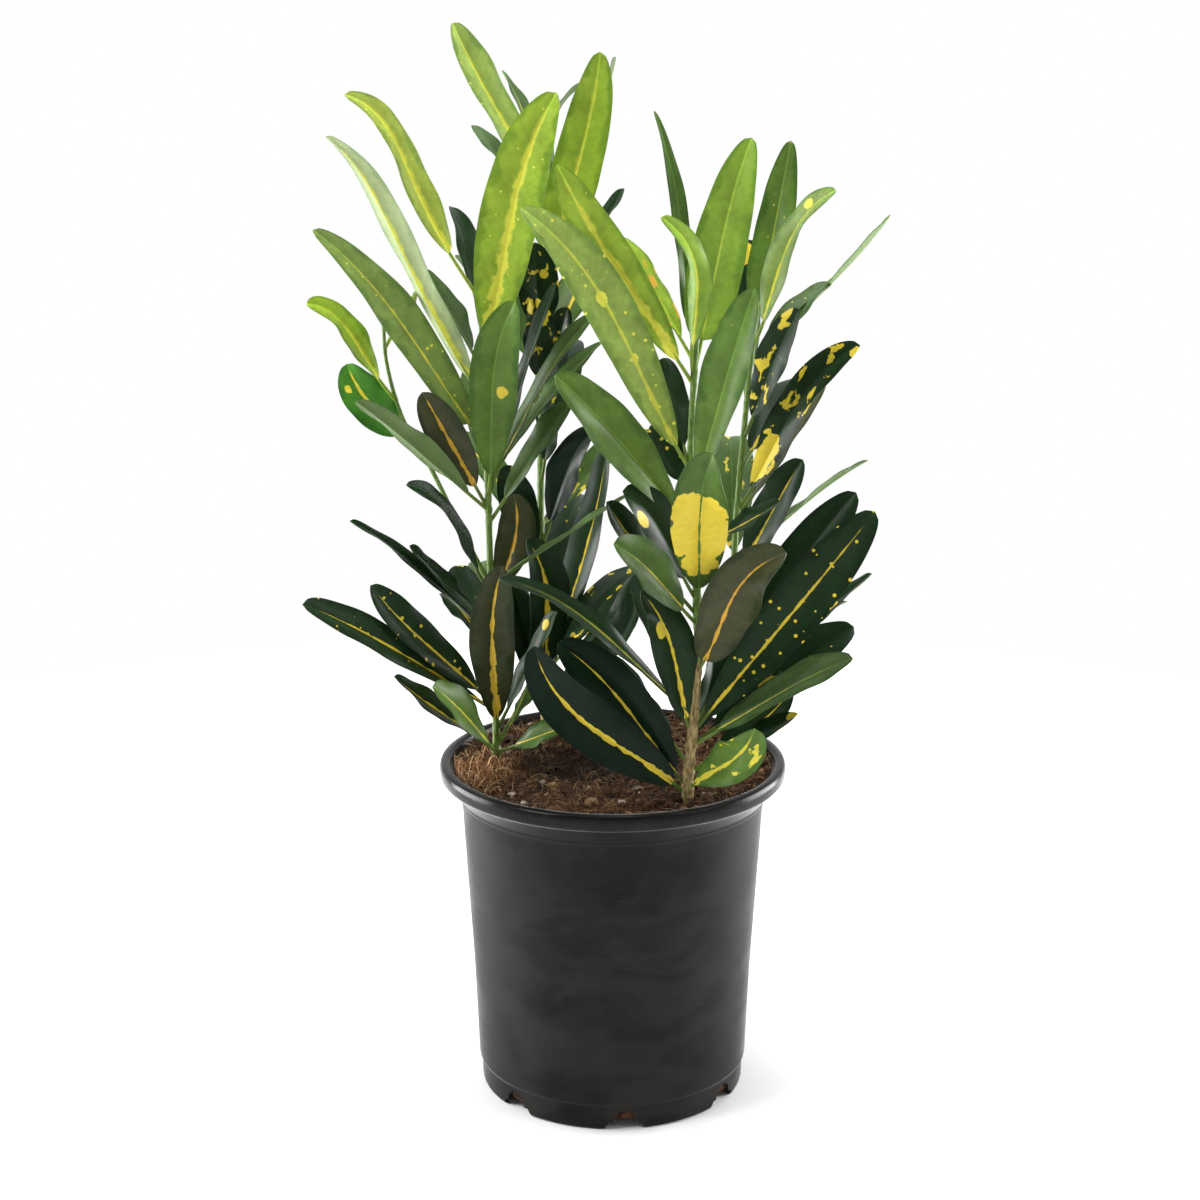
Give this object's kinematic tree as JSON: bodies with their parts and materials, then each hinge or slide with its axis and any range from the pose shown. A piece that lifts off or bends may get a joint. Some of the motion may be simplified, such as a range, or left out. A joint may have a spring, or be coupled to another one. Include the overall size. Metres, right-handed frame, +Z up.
{
  "type": "potted croton",
  "caption": "Potted croton house plant: upright leafy shoots with long, waved, yellow-marked leaves, rooted in soil in a round black nursery pot with a rolled lip and notched foot.",
  "frame": {"origin": "middle of the pot's base, on the plane that the pot stands on", "axes": "+Z up along the pot's axis; -Y is the front, where the lowest and widest leaves hang over the lip; +X to the right seen from the front"},
  "size_m": [0.2747, 0.2326, 0.5042],
  "materials": {
    "pot_plastic": "satin black moulded plastic",
    "soil": "loose fibrous coir and peat, dry on top",
    "leaves": "leathery green leaf with yellow veins and spots, soft gloss",
    "stem": "green shoot turning to light brown bark near the soil"
  },
  "bodies": {
    "root": {"pot": "pot_plastic", "soil": "soil", "left_shoot": "leaves", "tall_shoot": "leaves", "front_shoot": "leaves", "back_shoot": "leaves"}
  },
  "joints": []
}
